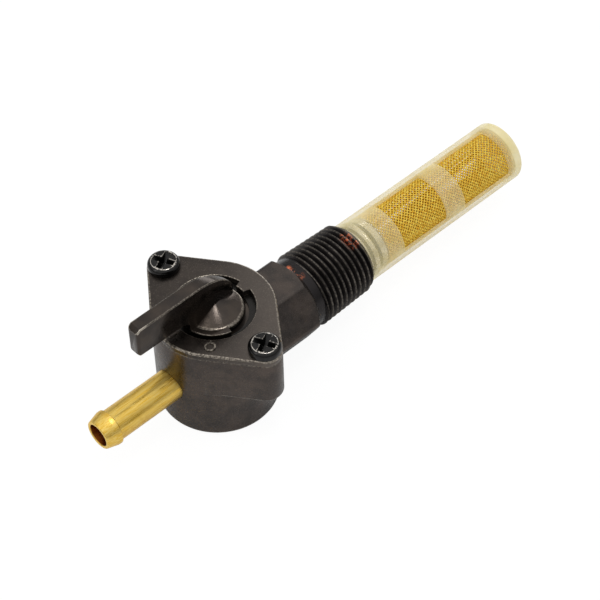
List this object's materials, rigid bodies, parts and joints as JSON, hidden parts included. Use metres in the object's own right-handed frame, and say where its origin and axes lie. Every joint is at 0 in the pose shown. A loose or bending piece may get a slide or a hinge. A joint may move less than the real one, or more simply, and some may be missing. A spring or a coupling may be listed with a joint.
{
  "type": "fuel tap",
  "caption": "Gravity fuel tap with a swing lever under a screwed cover, a barbed hose spigot, a tapered tank thread, and a gauze filter around an off-centre standpipe.",
  "frame": {"origin": "on the pipe axis at the large end of the tank thread, where the tank's bung stops", "axes": "+X along the pipe axis towards the filter (inlet), -X towards the hose spigot (outlet), +Z along the lever axis out of the cover, +Y across the two cover screws"},
  "size_m": [0.1182, 0.0382, 0.0354],
  "materials": {
    "black_nickel_casting": "satin black nickel plate on a die casting",
    "black_screw_steel": "glossy black",
    "nitrile_rubber": "matte",
    "spring_steel": "satin",
    "bright_brass": "turned and polished",
    "clear_nylon": "milky translucent moulding",
    "brass_gauze": "fine woven wire"
  },
  "bodies": {
    "tap_body": {"valve_body": "black_nickel_casting", "cover_plate": "black_nickel_casting", "cover_screws": "black_screw_steel", "seat_gasket": "nitrile_rubber", "wave_spring": "spring_steel", "outlet_spigot": "bright_brass", "standpipe": "bright_brass", "filter_frame": "clear_nylon", "filter_mesh": "brass_gauze"},
    "lever": {"lever": "black_nickel_casting", "rotor_o_ring": "nitrile_rubber"}
  },
  "joints": [
    {"name": "lever_turn", "type": "hinge", "parent": "tap_body", "child": "lever", "pos_m": [-0.0243, 0, 0], "axis": [0, 0, 1], "range_deg": [-90, 90]}
  ]
}
